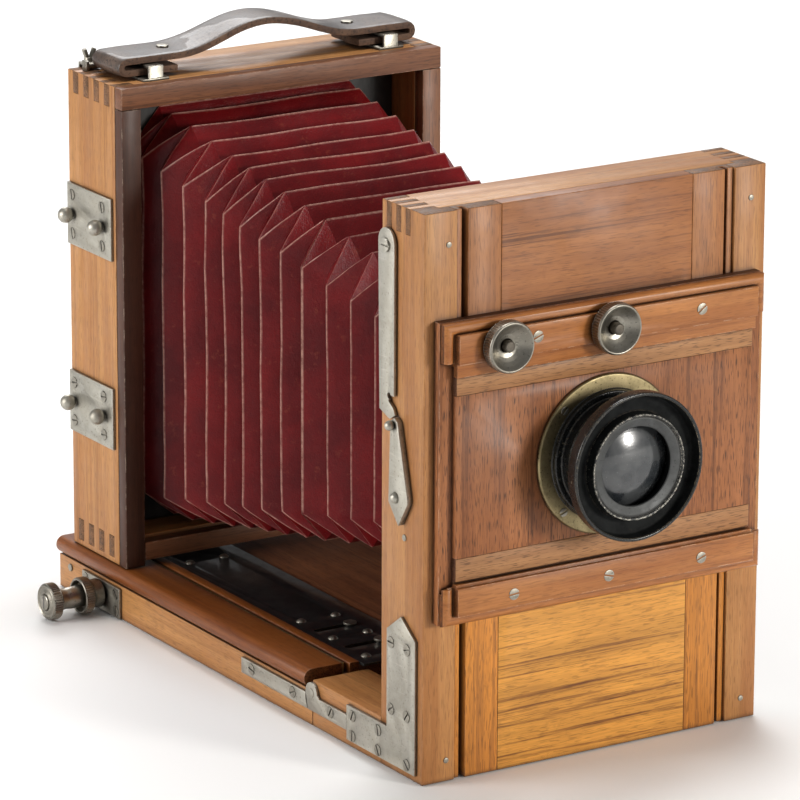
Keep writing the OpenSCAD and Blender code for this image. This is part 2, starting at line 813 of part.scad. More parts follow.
// Rail with a lip over the rebate that guides the lens board, and its border
module rail(z_lip, z_flat, z_edge, s) {
    z_back = z_edge - s * border_r;
    z_face = z_edge - s * 5;
    z_end = z_flat + s * 0.5;
    rebate = z_lip + s * 4.4;
    difference() {
        union() {
            block([-rail_half, rail_y, min(z_flat, z_face)], [rail_half, panel_y, max(z_flat, z_face)]);
            block([-rail_half, rail_y + 1.8, min(z_lip, z_flat)], [rail_half, panel_y, max(z_lip, z_flat)]);
            block([-rise_half + border_r, panel_y - 3, min(z_flat, z_back)],
                  [rise_half - border_r, panel_y, max(z_flat, z_back)]);
            rail_border(z_edge, z_end, s);
        }
        block([-rise_half - 1, board_y + 1.5, min(z_lip - s, rebate)],
              [rise_half + 1, panel_y + 1, max(z_lip - s, rebate)]);
        block([-rise_half - 1, panel_y, 0], [rise_half + 1, panel_y + 6, std_h]);
    }
}

module upper_rail() {
    color(rail_wood) difference() {
        rail(190.8, 197, rise_hi, 1);
        for (x = [-57, 0]) bar_y(2.8, rail_y - 1, panel_y + 1, x, 203.5);
    }
}

module lower_rail() {
    color(light_wood) rail(95.4, 94, rise_lo, -1);
}

module rail_screws() {
    color(nickel) {
        for (p = [[-39, 20], [49, 35]]) face_screw(p[0], rail_y, 204.5, p[1]);
        for (p = [[-50.5, 5], [0.5, -15], [51, 20]]) face_screw(p[0], rail_y, 87, p[1]);
    }
}

// Knurled nut with a dished face on its threaded stud
module clamp_knob(x) {
    y1 = rail_y - 0.5;
    color(nickel) {
        difference() {
            union() {
                bar_y(11.6, y1 - 6.2, y1, x, 203.5);
                for (i = [0:47]) translate([x, y1, 203.5]) rotate([90, 0, 0]) rotate([0, 0, i * 7.5])
                    translate([11.3, -0.3, 0.6]) cube([0.7, 0.6, 4.8]);
            }
            bar_y(9.8, y1 - 7, y1 - 4.4, x, 203.5);
        }
        bar_y(2.7, y1 - 6.9, front_y - 1, x, 203.5);
    }
}

module rise_knob() {
    clamp_knob(-57);
}

module shift_knob() {
    clamp_knob(0);
}

// ---------- Lens board and lens ----------

board_half = 79.4;

module lens_board() {
    color(dark_wood) difference() {
        block([-board_half, board_y, 107], [board_half, panel_y - 0.1, 182]);
        bar_y(barrel_r - 1.95, board_y - 1, panel_y + 1, 0, lens_z);
    }
}

// Cross-grained strips with tongues that run in the rails
module lens_board_strips() {
    color(dark_wood) {
        block([-board_half, board_y, 182], [board_half, panel_y - 0.1, 190.4]);
        block([-board_half, board_y + 2, 190.4], [board_half, panel_y - 0.1, 194.6]);
        block([-board_half, board_y, 96.3], [board_half, panel_y - 0.1, 107]);
        block([-board_half, board_y + 2, 91.8], [board_half, panel_y - 0.1, 96.3]);
    }
}

module lens_flange() {
    color(brass) difference() {
        union() {
            bar_y(flange_r, board_y - 2, board_y, 0, lens_z);
            bar_y(barrel_r + 2.4, board_y - 4.5, board_y - 2, 0, lens_z);
        }
        bar_y(barrel_r, board_y - 6, board_y + 1, 0, lens_z);
        for (a = [45:90:315]) translate([cos(a) * 33.4, 0, lens_z + sin(a) * 33.4])
            bar_y(2.1, board_y - 3, board_y + 1, 0, 0);
    }
}

module flange_screws() {
    color(brass) for (a = [45:90:315])
        face_screw(cos(a) * 33.4, board_y - 2, lens_z + sin(a) * 33.4, a * 1.7, 2, 5);
}

// Barrel with its rear cell behind the board
module lens_barrel() {
    color(black_metal) difference() {
        union() {
            bar_y(barrel_r, board_y - 18, board_y, 0, lens_z);
            bar_y(barrel_r - 2, board_y, front_y + 12, 0, lens_z);
        }
        bar_y(21, board_y - 19, front_y + 13, 0, lens_z);
        block([-3, board_y - 10, lens_z + 15], [22, board_y - 8, lens_z + 30]);
    }
}

// Flared hood ring with a stepped mouth
module lens_hood() {
    color(black_metal) translate([0, board_y - 18, lens_z]) rotate([90, 0, 0]) rotate_extrude($fn = 96)
        polygon([[21, 0], [barrel_r + 1, 0], [barrel_r + 1.5, 1.5], [hood_r, 2.5], [hood_r, 8.4],
                 [hood_r - 1.2, 9], [30, 9], [27.5, 7], [26.6, 7], [26.6, 4.4], [21, 3.2]]);
}

// Half section of a domed glass: X is the radius, Y the height of the dome above its edge
module dome_section(r, dome_r, rim) {
    steps = 8;
    edge = sqrt(dome_r * dome_r - r * r);
    polygon(concat([[0, -rim], [r, -rim]],
                   [for (i = [steps:-1:0]) [r * i / steps, sqrt(dome_r * dome_r - pow(r * i / steps, 2)) - edge]]));
}

module lens_elements() {
    color(glass_tint) {
        translate([0, board_y - 14, lens_z]) rotate([90, 0, 0])
            rotate_extrude($fn = 96) dome_section(20.9, 42, 3);
        translate([0, front_y + 5, lens_z]) rotate([-90, 0, 0])
            rotate_extrude($fn = 96) dome_section(20.9, 58, 3);
    }
}

front_sides();
front_top_board();
front_panel();
front_panel_strips();
front_bed_floor();
front_bed_sides();
corner_plates();
tripod_bush();
bellows_front_frame();
bed_sides();
bed_floor();
hinge_leaves();
bearing_plates();
bed_screws();
front_nails();
bellows_front();
pinion_shaft();
pinion_gears();
focus_knob();
lock_nut();
sled_rails();
sled_floor();
sled_strips();
groove_strips();
racks();
lock_plate();
lock_plate_screws();
bellows_rear();
lock_bar();
rear_sides();
rear_top_board();
rear_sole();
rear_fascia();
bellows_rear_frame();
stud_plates();
stud_plate_screws();
handle_strap();
strap_hardware();
back_fittings();
back_catch();
glass_frame();
ground_glass();
glass_clips();
rise_panel();
upper_rail();
lower_rail();
rail_screws();
lens_board();
lens_board_strips();
lens_flange();
flange_screws();
lens_barrel();
lens_hood();
lens_elements();
rise_knob();
shift_knob();
hook_arm_left();
hook_arm_right();
stay_lever_left();
stay_lever_right();
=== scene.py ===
"""Looks of the large format view camera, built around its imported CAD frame. Lengths are in metres."""
import json
import math

import bmesh
import bpy
from mathutils import Matrix, Vector, noise


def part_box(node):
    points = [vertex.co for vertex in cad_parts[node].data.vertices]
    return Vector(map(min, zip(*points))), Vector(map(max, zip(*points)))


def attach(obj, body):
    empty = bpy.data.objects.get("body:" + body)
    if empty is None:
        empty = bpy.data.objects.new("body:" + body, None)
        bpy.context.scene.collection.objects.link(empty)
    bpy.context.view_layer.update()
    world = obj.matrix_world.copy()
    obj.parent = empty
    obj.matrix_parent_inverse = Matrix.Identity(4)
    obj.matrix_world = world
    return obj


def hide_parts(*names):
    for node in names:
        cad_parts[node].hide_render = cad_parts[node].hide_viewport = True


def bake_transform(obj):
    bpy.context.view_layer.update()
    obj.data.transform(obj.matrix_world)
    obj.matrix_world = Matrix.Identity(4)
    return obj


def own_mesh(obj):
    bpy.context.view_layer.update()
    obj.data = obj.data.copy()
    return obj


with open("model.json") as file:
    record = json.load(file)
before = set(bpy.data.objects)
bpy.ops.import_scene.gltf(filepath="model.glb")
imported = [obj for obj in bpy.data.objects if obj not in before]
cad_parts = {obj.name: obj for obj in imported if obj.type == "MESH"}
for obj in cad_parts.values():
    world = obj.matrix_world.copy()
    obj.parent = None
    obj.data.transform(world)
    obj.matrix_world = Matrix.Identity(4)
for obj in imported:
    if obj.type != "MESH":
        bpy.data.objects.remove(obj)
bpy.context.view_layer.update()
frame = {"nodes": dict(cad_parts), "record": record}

MM = 0.001
BODY_OF = {node: body for body, nodes in frame["record"]["behaviour"]["bodies"].items() for node in nodes}
Z = Vector((0, 0, 1))


# ---------- Camera, light and floor ----------

def add_camera():
    """A long lens from the left front, a little above the camera."""
    data = bpy.data.cameras.new("camera")
    data.sensor_width = 36
    data.lens = 252.9
    data.clip_start = 0.1
    obj = bpy.data.objects.new("camera", data)
    bpy.context.scene.collection.objects.link(obj)
    azimuth, elevation, roll = (math.radians(a) for a in (-32.05, 16.35, 0.20))
    turn = Matrix.Rotation(azimuth, 4, "Z") @ Matrix.Rotation(math.pi / 2 - elevation, 4, "X")
    place = Matrix.Translation((-1.3553, -2.0646, 0.8743))
    obj.matrix_world = place @ turn @ Matrix.Rotation(roll, 4, "Z")
    bpy.context.scene.camera = obj


def add_light(name, place, target, size, power, colour=(1, 1, 1)):
    data = bpy.data.lights.new(name, "AREA")
    data.shape = "DISK"
    data.size = size
    data.energy = power
    data.color = colour
    obj = bpy.data.objects.new(name, data)
    bpy.context.scene.collection.objects.link(obj)
    obj.location = place
    obj.rotation_euler = (Vector(target) - Vector(place)).to_track_quat("-Z", "Y").to_euler()


def add_studio():
    centre = (0, 0.08, 0.13)
    add_light("key", (1.4, -2.75, 0.80), centre, 0.7, 68, (1, 0.97, 0.92))
    add_light("side", (-1.7, 0.50, 0.65), centre, 0.9, 22, (1, 0.98, 0.96))
    add_light("top", (0.15, 0.24, 1.70), centre, 0.5, 12)
    add_light("backdrop", (1.1, 2.7, 1.9), (1.1, 2.6, 0), 1.8, 75)
    world = bpy.data.worlds.new("studio")
    world.use_nodes = True
    world.node_tree.nodes["Background"].inputs["Color"].default_value = (1, 1, 1, 1)
    world.node_tree.nodes["Background"].inputs["Strength"].default_value = 0.26
    bpy.context.scene.world = world
    bpy.context.scene.view_settings.view_transform = "Standard"
    half = 6
    mesh = bpy.data.meshes.new("floor")
    corners = [(-half, -half, 0), (half, -half, 0), (half, half, 0), (-half, half, 0)]
    mesh.from_pydata([(x, y, -0.0004) for x, y, _ in corners], [], [(0, 1, 2, 3)])
    floor = bpy.data.objects.new("floor", mesh)
    bpy.context.scene.collection.objects.link(floor)
    mat, shader = new_material("floor")
    shader.inputs["Base Color"].default_value = (0.93, 0.93, 0.925, 1)
    shader.inputs["Roughness"].default_value = 0.8
    mesh.materials.append(mat)


# ---------- Material building blocks ----------

def new_material(name):
    mat = bpy.data.materials.new(name)
    mat.use_nodes = True
    return mat, mat.node_tree.nodes["Principled BSDF"]


class Shading:
    """Short calls for the nodes that the materials share."""

    def __init__(self, name):
        self.mat, self.shader = new_material(name)
        self.tree = self.mat.node_tree
        self.place = self.add("ShaderNodeTexCoord").outputs["Object"]

    def add(self, kind, **values):
        node = self.tree.nodes.new(kind)
        for key, value in values.items():
            setattr(node, key, value)
        return node

    def feed(self, socket, value):
        if isinstance(value, bpy.types.NodeSocket):
            self.tree.links.new(value, socket)
        else:
            socket.default_value = value

    def stretched(self, scale, source=None):
        node = self.add("ShaderNodeMapping")
        self.feed(node.inputs["Vector"], source or self.place)
        node.inputs["Scale"].default_value = scale
        return node.outputs["Vector"]

    def moved(self, offset_from, amount):
        """The place, shifted by an attribute that differs from board to board."""
        board = self.add("ShaderNodeAttribute", attribute_name=offset_from)
        scaled = self.add("ShaderNodeVectorMath", operation="SCALE")
        self.feed(scaled.inputs[0], board.outputs["Vector"])
        scaled.inputs["Scale"].default_value = amount
        total = self.add("ShaderNodeVectorMath", operation="ADD")
        self.feed(total.inputs[0], self.place)
        self.feed(total.inputs[1], scaled.outputs[0])
        return total.outputs[0]

    def noise(self, scale, vector=None, detail=4.0, rough=0.55, distort=0.0):
        node = self.add("ShaderNodeTexNoise")
        self.feed(node.inputs["Vector"], vector or self.place)
        node.inputs["Scale"].default_value = scale
        node.inputs["Detail"].default_value = detail
        node.inputs["Roughness"].default_value = rough
        node.inputs["Distortion"].default_value = distort
        return node.outputs["Fac"]

    def cells(self, scale):
        node = self.add("ShaderNodeTexVoronoi")
        self.feed(node.inputs["Vector"], self.place)
        node.inputs["Scale"].default_value = scale
        return node.outputs["Distance"]

    def ramp(self, fac, *stops):
        """Maps a value through (position, grey or colour) stops."""
        node = self.add("ShaderNodeValToRGB")
        ramp = node.color_ramp
        while len(ramp.elements) < len(stops):
            ramp.elements.new(0.5)
        for element, (position, tone) in zip(ramp.elements, stops):
            element.position = position
            element.color = (*tone, 1) if isinstance(tone, tuple) else (tone, tone, tone, 1)
        self.feed(node.inputs["Fac"], fac)
        return node.outputs["Color"]

    def mix(self, fac, a, b):
        node = self.add("ShaderNodeMix", data_type="RGBA")
        self.feed(node.inputs["Factor"], fac)
        for socket, value in ((node.inputs["A"], a), (node.inputs["B"], b)):
            self.feed(socket, (*value, 1) if isinstance(value, tuple) else value)
        return node.outputs["Result"]

    def math(self, operation, a, b=0.0, clamp=False):
        node = self.add("ShaderNodeMath", operation=operation, use_clamp=clamp)
        self.feed(node.inputs[0], a)
        self.feed(node.inputs[1], b)
        return node.outputs[0]

    def edges(self, radius):
        """1 at worn edges and 0 on flat faces."""
        bevel = self.add("ShaderNodeBevel", samples=4)
        bevel.inputs["Radius"].default_value = radius
        geometry = self.add("ShaderNodeNewGeometry")
        dot = self.add("ShaderNodeVectorMath", operation="DOT_PRODUCT")
        self.feed(dot.inputs[0], bevel.outputs["Normal"])
        self.feed(dot.inputs[1], geometry.outputs["Normal"])
        return self.ramp(dot.outputs["Value"], (0.72, 1.0), (0.97, 0.0))

    def bump(self, height, distance, strength=1.0, normal=None):
        node = self.add("ShaderNodeBump")
        node.inputs["Strength"].default_value = strength
        node.inputs["Distance"].default_value = distance
        self.feed(node.inputs["Height"], height)
        if normal:
            self.feed(node.inputs["Normal"], normal)
        return node.outputs["Normal"]

    def finish(self, colour, roughness, normal=None, **values):
        self.feed(self.shader.inputs["Base Color"], colour)
        self.feed(self.shader.inputs["Roughness"], roughness)
        if normal:
            self.feed(self.shader.inputs["Normal"], normal)
        for name, value in values.items():
            self.shader.inputs[name.replace("_", " ")].default_value = value
        return self.mat


# ---------- Materials ----------

def wood(name, light, dark, grain, streaks=0.5, pores=0.3, gloss=0.35, low=None):
    """Varnished wood whose grain runs along one axis. low is the colour that it fades to near the bed."""
    s = Shading(name)
    place = s.moved("board", 0.4)
    along = [0.05 if a == grain else 1.0 for a in "XYZ"]
    wide = s.noise(48, s.stretched(along, place), 3, 0.55, 1.2)
    rings = s.noise(210, s.stretched(along, place), 4, 0.6, 0.5)
    lines = s.noise(330, s.stretched([0.018 if a == grain else 1.0 for a in "XYZ"], place), 3, 0.6, 0.4)
    fine = s.noise(1500, s.stretched([0.03 if a == grain else 1.0 for a in "XYZ"], place), 2, 0.5)
    flecks = s.noise(2300, s.stretched([0.07 if a == grain else 1.0 for a in "XYZ"], place), 1, 0.4)
    cloud = s.noise(14, place, 3, 0.6)
    dark_part = dark
    if low:
        height = s.add("ShaderNodeSeparateXYZ")
        s.feed(height.inputs[0], s.place)
        fade = s.math("MULTIPLY", s.math("SUBTRACT", 0.185, height.outputs["Z"]), 11, clamp=True)
        light = s.mix(fade, light, low)
        dark_part = s.mix(fade, dark, tuple(c * 0.68 for c in low))
    tone = s.math("ADD", s.math("MULTIPLY", wide, 0.55), s.math("MULTIPLY", rings, 0.45))
    colour = s.mix(s.ramp(tone, (0.38, 0.9), (0.60, 0.0)), light, dark_part)
    colour = s.mix(s.math("MULTIPLY", s.ramp(lines, (0.34, 1.0), (0.46, 0.0)), streaks), colour,
                   tuple(c * 0.62 for c in dark))
    colour = s.mix(s.math("MULTIPLY", s.ramp(fine, (0.40, 1.0), (0.60, 0.0)), 0.16), colour,
                   tuple(c * 0.45 for c in dark))
    colour = s.mix(s.math("MULTIPLY", s.ramp(flecks, (0.35, 1.0), (0.43, 0.0)), pores), colour,
                   tuple(c * 0.22 for c in dark))
    colour = s.mix(s.ramp(cloud, (0.36, 0.22), (0.60, 0.0)), colour, tuple(c * 0.7 for c in dark))
    patch = s.noise(240, None, 3)
    worn = s.math("MULTIPLY", s.edges(0.0009), s.ramp(patch, (0.46, 0.0), (0.62, 0.75)))
    colour = s.mix(worn, colour, (0.78, 0.60, 0.44))
    rubbed = s.math("MULTIPLY", s.edges(0.0009), s.ramp(patch, (0.40, 0.7), (0.50, 0.0)))
    colour = s.mix(rubbed, colour, (0.16, 0.035, 0.010))
    stain = s.ramp(s.noise(34, place, 5, 0.7, 0.6), (0.63, 0.0), (0.74, 0.35))
    colour = s.mix(stain, colour, tuple(c * 0.40 for c in dark))
    # Painted shade: an occlusion node darkens the wood within 3.5 mm of other surfaces, in corners, joints
    # and recesses.
    wood_occlusion = s.add("ShaderNodeAmbientOcclusion", samples=6)
    wood_occlusion.inputs["Distance"].default_value = 0.0035
    painted_crevice_shade = s.ramp(wood_occlusion.outputs["AO"], (0.38, 0.95), (0.84, 0.0))
    colour = s.mix(painted_crevice_shade, colour, (0.045, 0.016, 0.007))
    rough = s.ramp(s.noise(60, place, 4), (0.3, gloss + 0.08), (0.75, gloss + 0.26))
    grain_height = s.math("ADD", s.math("MULTIPLY", fine, 0.5), s.math("MULTIPLY", lines, 0.6))
    normal = s.bump(grain_height, 0.00005, 0.8)
    normal = s.bump(s.noise(30, place, 2), 0.0006, 0.35, normal)
    return s.finish(colour, rough, normal, Coat_Weight=0.12, Coat_Roughness=0.30, Specular_IOR_Level=0.35)


def end_grain(name, colour):
    """Darker, pitted ends of boards."""
    s = Shading(name)
    pits = s.noise(1900, None, 2, 0.5)
    bands = s.noise(240, None, 3, 0.6, 0.8)
    tone = s.mix(s.ramp(bands, (0.38, 1.0), (0.62, 0.0)), colour, tuple(c * 0.55 for c in colour))
    tone = s.mix(s.ramp(pits, (0.40, 0.8), (0.50, 0.0)), tone, tuple(c * 0.2 for c in colour))
    worn = s.math("MULTIPLY", s.edges(0.0009), 0.35)
    tone = s.mix(worn, tone, tuple(min(1, c * 1.7) for c in colour))
    rough = s.ramp(bands, (0.3, 0.4), (0.7, 0.6))
    return s.finish(tone, rough, s.bump(pits, 0.00012, 0.7), Specular_IOR_Level=0.15)


def metal(name, colour, tarnish, roughness=0.32, spots=0.5, wear=None, scratches=0.35):
    """Plated or bare metal with tarnish, fine scratches and brighter edges."""
    s = Shading(name)
    cloud = s.noise(95, None, 5, 0.65, 0.4)
    tone = s.mix(s.ramp(cloud, (0.40, 0.75 * spots), (0.66, 0.0)), colour, tarnish)
    dots = s.ramp(s.noise(850, None, 2, 0.5), (0.30, 1.0), (0.38, 0.0))
    tone = s.mix(s.math("MULTIPLY", dots, spots), tone, tuple(c * 0.35 for c in tarnish))
    lines = s.noise(900, s.stretched([0.9, 0.06, 0.9]), 2, 0.5, 0.8)
    marks = s.ramp(lines, (0.30, 1.0), (0.36, 0.0))
    tone = s.mix(s.math("MULTIPLY", marks, scratches), tone, tuple(min(1, c * 1.35) for c in colour))
    edge = s.math("MULTIPLY", s.edges(0.0006), s.ramp(s.noise(420, None, 3), (0.38, 0.25), (0.6, 1.0)))
    tone = s.mix(edge, tone, wear or tuple(min(1, c * 1.3 + 0.04) for c in colour))
    # Painted shade: an occlusion node darkens the metal within 2.2 mm of other surfaces, in slots, corners
    # and recesses.
    metal_occlusion = s.add("ShaderNodeAmbientOcclusion", samples=4)
    metal_occlusion.inputs["Distance"].default_value = 0.0022
    painted_crevice_shade = s.ramp(metal_occlusion.outputs["AO"], (0.42, 0.75), (0.88, 0.0))
    tone = s.mix(painted_crevice_shade, tone, (0.035, 0.026, 0.018))
    rough = s.math("ADD", s.ramp(cloud, (0.35, 0.16), (0.7, 0.0)), s.math("MULTIPLY", s.noise(1500), 0.12))
    rough = s.math("ADD", rough, roughness - 0.06)
    normal = s.bump(s.noise(1300, s.stretched([1, 0.3, 1]), 3), 0.00003, 0.6)
    normal = s.bump(s.noise(120, None, 2), 0.00025, 0.25, normal)
    return s.finish(tone, rough, normal, Metallic=1.0)


def blacking(name, roughness=0.4, wear=(0.36, 0.25, 0.12), spread=0.45, gloss=0.25, shine=0.35):
    """Black lacquer on brass, rubbed through to the metal along its edges."""
    s = Shading(name)
    cloud = s.noise(130, None, 5, 0.7)
    tone = s.mix(s.ramp(cloud, (0.4, 1.0), (0.65, 0.0)), (0.005, 0.0055, 0.006), (0.014, 0.015, 0.015))
    edge = s.math("MULTIPLY", s.edges(0.0010), s.ramp(s.noise(700, None, 4, 0.65), (0.44, 0.0), (0.56, 1.0)))
    chips = s.ramp(s.noise(480, None, 4, 0.7), (0.64, 0.0), (0.67, spread))
    bare = s.math("MAXIMUM", edge, chips)
    tone = s.mix(bare, tone, wear)
    rough = s.math("ADD", s.math("MULTIPLY", cloud, 0.25), roughness - 0.1)
    s.feed(s.shader.inputs["Metallic"], bare)
    normal = s.bump(s.math("SUBTRACT", s.noise(1600, None, 3), bare), 0.00005, 0.6)
    return s.finish(tone, rough, normal, Coat_Weight=gloss, Coat_Roughness=0.12, Specular_IOR_Level=shine)


def bellows_leather():
    """Thin red leather: fine pebbled grain, dull folds and ridges rubbed pale."""
    s = Shading("bellows_leather")
    ridge = s.add("ShaderNodeAttribute", attribute_name="ridge").outputs["Fac"]
    pebble = s.cells(1300)
    cloud = s.noise(38, None, 4, 0.6)
    tone = s.mix(s.ramp(cloud, (0.36, 1.0), (0.66, 0.0)), (0.155, 0.0060, 0.0075), (0.092, 0.0036, 0.0052))
    tone = s.mix(s.ramp(pebble, (0.0, 0.40), (0.5, 0.0)), tone, (0.040, 0.002, 0.004))
    tone = s.mix(s.ramp(s.noise(190, None, 4, 0.7), (0.60, 0.0), (0.72, 0.5)), tone, (0.20, 0.035, 0.020))
    rubbed = s.math("MULTIPLY", ridge, s.ramp(s.noise(330, None, 4, 0.7), (0.34, 0.35), (0.60, 1.0)))
    tone = s.mix(rubbed, tone, (0.50, 0.27, 0.215))
    rough = s.ramp(s.noise(85, None, 3), (0.35, 0.30), (0.7, 0.42))
    height = s.math("ADD", s.math("MULTIPLY", pebble, 0.6), s.noise(420, None, 4, 0.6))
    normal = s.bump(height, 0.00014, 0.9)
    normal = s.bump(s.noise(90, None, 3), 0.0010, 0.40, normal)
    return s.finish(tone, rough, normal, Specular_IOR_Level=0.18)


def strap_leather(name, colour, worn, raw=False):
    """Thick strap leather; raw is its cut edge and flesh side."""
    s = Shading(name)
    pebble = s.cells(900)
    cloud = s.noise(60, None, 5, 0.65)
    tone = s.mix(s.ramp(cloud, (0.38, 0.0), (0.64, 1.0)), colour, worn)
    pits = s.ramp(s.noise(700, None, 3, 0.6), (0.36, 0.8), (0.48, 0.0))
    tone = s.mix(pits, tone, tuple(c * 0.35 for c in colour))
    crack = s.ramp(s.noise(260, s.stretched([1, 0.25, 1]), 3, 0.6, 1.0), (0.30, 1.0), (0.36, 0.0))
    tone = s.mix(s.math("MULTIPLY", crack, 0.6), tone, tuple(c * 0.3 for c in colour))
    tone = s.mix(s.math("MULTIPLY", s.edges(0.0012), 0.55), tone, tuple(min(1, c * 1.5) for c in worn))
    fibre = s.noise(800, s.stretched([0.3, 1, 1]), 3, 0.7)
    height = fibre if raw else s.math("ADD", s.math("MULTIPLY", pebble, 0.5), s.noise(350, None, 4))
    normal = s.bump(height, 0.00022 if raw else 0.00013, 0.8)
    rough = s.ramp(cloud, (0.3, 0.40), (0.7, 0.55)) if not raw else s.ramp(cloud, (0.3, 0.7), (0.7, 0.9))
    return s.finish(tone, rough, normal, Coat_Weight=0.0 if raw else 0.15)


def clear_glass():
    """Lens glass over a dark interior, with a little dust."""
    s = Shading("clear_glass")
    dust = s.ramp(s.noise(900, None, 3, 0.6), (0.66, 0.0), (0.74, 0.25))
    smear = s.noise(90, None, 3)
    haze = s.mix(s.ramp(smear, (0.40, 0.0), (0.60, 1.0)), (0.020, 0.023, 0.026), (0.055, 0.058, 0.060))
    tone = s.mix(dust, haze, (0.22, 0.22, 0.21))
    rough = s.math("ADD", s.math("MULTIPLY", smear, 0.2), s.math("MULTIPLY", dust, 0.4))
    normal = s.bump(smear, 0.00002, 0.2)
    return s.finish(tone, s.math("ADD", rough, 0.12), normal, IOR=1.6,
                    Coat_Weight=0.35, Coat_Roughness=0.02, Coat_IOR=1.6)


def ground_glass():
    s = Shading("ground_glass")
    cloud = s.noise(40, None, 4)
    tone = s.mix(s.ramp(cloud, (0.35, 0.0), (0.7, 1.0)), (0.50, 0.55, 0.55), (0.60, 0.64, 0.63))
    tone = s.mix(s.ramp(s.noise(600, None, 3), (0.66, 0.0), (0.74, 0.6)), tone, (0.30, 0.31, 0.30))
    normal = s.bump(s.noise(2600, None, 2), 0.00002, 0.5)
    rough = s.ramp(cloud, (0.3, 0.28), (0.7, 0.38))
    return s.finish(tone, rough, normal, Coat_Weight=0.6, Coat_Roughness=0.06)


def black_paint():
    s = Shading("black_paint")
    cloud = s.noise(90, s.stretched([1, 1, 0.3]), 4, 0.6)
    tone = s.mix(s.ramp(cloud, (0.4, 1.0), (0.65, 0.0)), (0.008, 0.008, 0.008), (0.024, 0.021, 0.019))
    tone = s.mix(s.math("MULTIPLY", s.edges(0.001), 0.4), tone, (0.12, 0.07, 0.04))
    return s.finish(tone, s.ramp(cloud, (0.3, 0.5), (0.7, 0.75)), s.bump(cloud, 0.0001, 0.6))


# Slot: material name, light and dark colours, streaks, pores, gloss, and the colour near the bed
WOODS = {
    "light": ("light_wood", (0.520, 0.250, 0.082), (0.364, 0.140, 0.037), 0.40, 0.35),
    "middle": ("middle_wood", (0.402, 0.150, 0.040), (0.250, 0.080, 0.020), 1.00, 0.35, 0.36,
               (0.803, 0.365, 0.062)),
    "strip": ("strip_wood", (0.413, 0.165, 0.048), (0.306, 0.108, 0.030), 0.50, 0.50, 0.36,
              (0.673, 0.255, 0.037)),
    "board": ("board_wood", (0.386, 0.143, 0.047), (0.242, 0.080, 0.025), 0.95, 0.85, 0.42),
    "pale": ("pale_wood", (0.440, 0.215, 0.083), (0.300, 0.125, 0.044), 0.30, 0.70, 0.38),
    "dark": ("walnut", (0.260, 0.095, 0.038), (0.135, 0.043, 0.018), 0.60, 0.50, 0.40),
    "head": ("stained", (0.270, 0.108, 0.044), (0.135, 0.047, 0.019), 0.70, 0.40, 0.38),
    # The stile colours are the head's, darkened: painted shade for the fascia's left stile, which stands in
    # shadow.
    "stile": ("shaded_stain", (0.085, 0.031, 0.015), (0.045, 0.016, 0.008), 0.60, 0.30, 0.40),
    "red": ("red_wood", (0.480, 0.190, 0.052), (0.290, 0.088, 0.018), 0.50, 0.30, 0.22),
    "bed": ("bed_wood", (0.300, 0.095, 0.018), (0.170, 0.042, 0.007), 0.50, 0.30, 0.26),
}


def make_materials():
    table = {}
    for slot, (name, light, dark, streaks, pores, *rest) in WOODS.items():
        for grain in "XYZ":
            table[slot + "_" + grain] = wood(name + "_" + grain, light, dark, grain, streaks, pores, *rest)
    table["light_end"] = end_grain("light_end_grain", (0.25, 0.125, 0.062))
    table["dark_end"] = end_grain("dark_end_grain", (0.14, 0.060, 0.032))
    table["red_end"] = end_grain("red_end_grain", (0.20, 0.070, 0.022))
    table["nickel"] = metal("nickel_plate", (0.46, 0.44, 0.385), (0.27, 0.24, 0.185), 0.40, 0.45)
    table["worn_nickel"] = metal("worn_nickel", (0.34, 0.32, 0.275), (0.15, 0.13, 0.10), 0.30, 0.55)
    table["screw_metal"] = metal("screw_metal", (0.37, 0.35, 0.30), (0.15, 0.125, 0.09), 0.34, 0.5)
    table["brass"] = metal("aged_brass", (0.35, 0.285, 0.155), (0.13, 0.105, 0.055), 0.34, 0.8,
                           (0.62, 0.52, 0.32))
    table["blacking"] = blacking("worn_blacking", 0.24, (0.42, 0.35, 0.24), 0.30, 0.12)
    table["plate_black"] = blacking("black_plate", 0.38, (0.20, 0.17, 0.13), 0.10, 0.35)
    table["milled_edge"] = blacking("milled_edge", 0.34, (0.74, 0.70, 0.60), 0.6, 0.1)
    table["matt_black"] = blacking("matt_black", 0.65, (0.10, 0.08, 0.06), 0.10, 0.0, 0.08)
    table["dark_steel"] = metal("dark_steel", (0.13, 0.115, 0.095), (0.05, 0.042, 0.034), 0.50, 0.6)
    table["ring_grey"] = metal("ring_grey", (0.105, 0.108, 0.108), (0.06, 0.06, 0.058), 0.52, 0.5,
                               (0.2, 0.2, 0.19), 0.1)
    table["ring_black"] = blacking("ring_blacking", 0.45, (0.33, 0.27, 0.17), 0.25, 0.15)
    table["bellows"] = bellows_leather()
    table["strap"] = strap_leather("strap_leather", (0.034, 0.020, 0.015), (0.105, 0.070, 0.052))
    table["strap_raw"] = strap_leather("strap_edge", (0.070, 0.036, 0.022), (0.15, 0.085, 0.052), True)
    table["glass"] = clear_glass()
    table["ground"] = ground_glass()
    table["black_paint"] = black_paint()
    return table


MATERIALS = {}


# ---------- Mesh building blocks ----------

